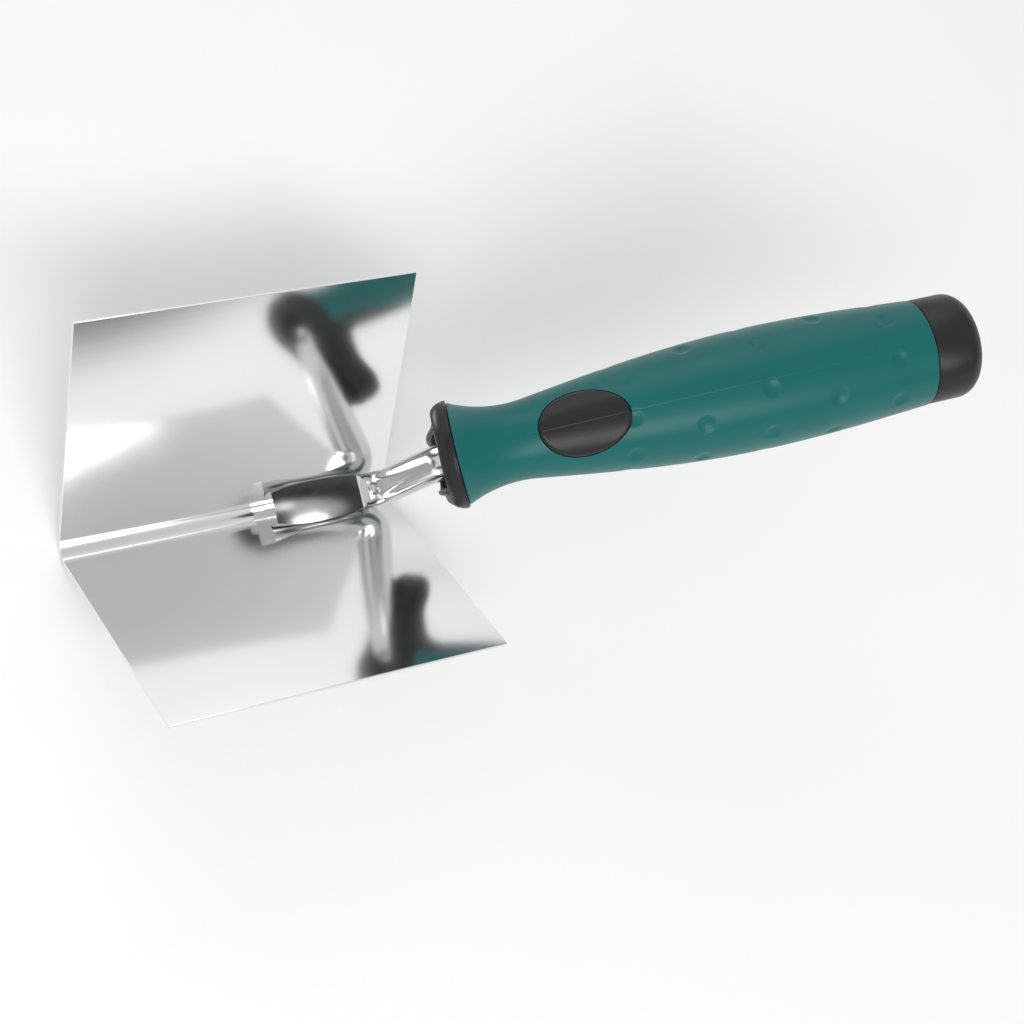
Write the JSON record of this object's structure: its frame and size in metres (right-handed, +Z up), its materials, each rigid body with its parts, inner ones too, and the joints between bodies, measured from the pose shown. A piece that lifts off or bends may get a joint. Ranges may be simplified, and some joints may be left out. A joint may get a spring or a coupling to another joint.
{
  "type": "inside corner trowel",
  "caption": "Inside corner trowel: a folded right-angle blade on a bent round tang, with a moulded two-material handle, finger guard, thumb pad and end cap.",
  "frame": {"origin": "on the blade's ridge, the lowest line of the fold's outside, at the middle of the blade's length", "axes": "+X along the fold towards the blade's front edge, +Z up out of the open V towards the thumb side, Y = 0 is the symmetry plane"},
  "size_m": [0.195, 0.0848, 0.0904],
  "materials": {
    "blade_steel": "polished",
    "tang_steel": "polished",
    "green_grip": "satin",
    "black_plastic": "satin"
  },
  "bodies": {
    "root": {"blade": "blade_steel", "tang": "tang_steel", "core": "black_plastic", "sleeve": "green_grip", "guard": "black_plastic", "thumb_pad": "black_plastic", "end_cap": "black_plastic"}
  },
  "joints": []
}
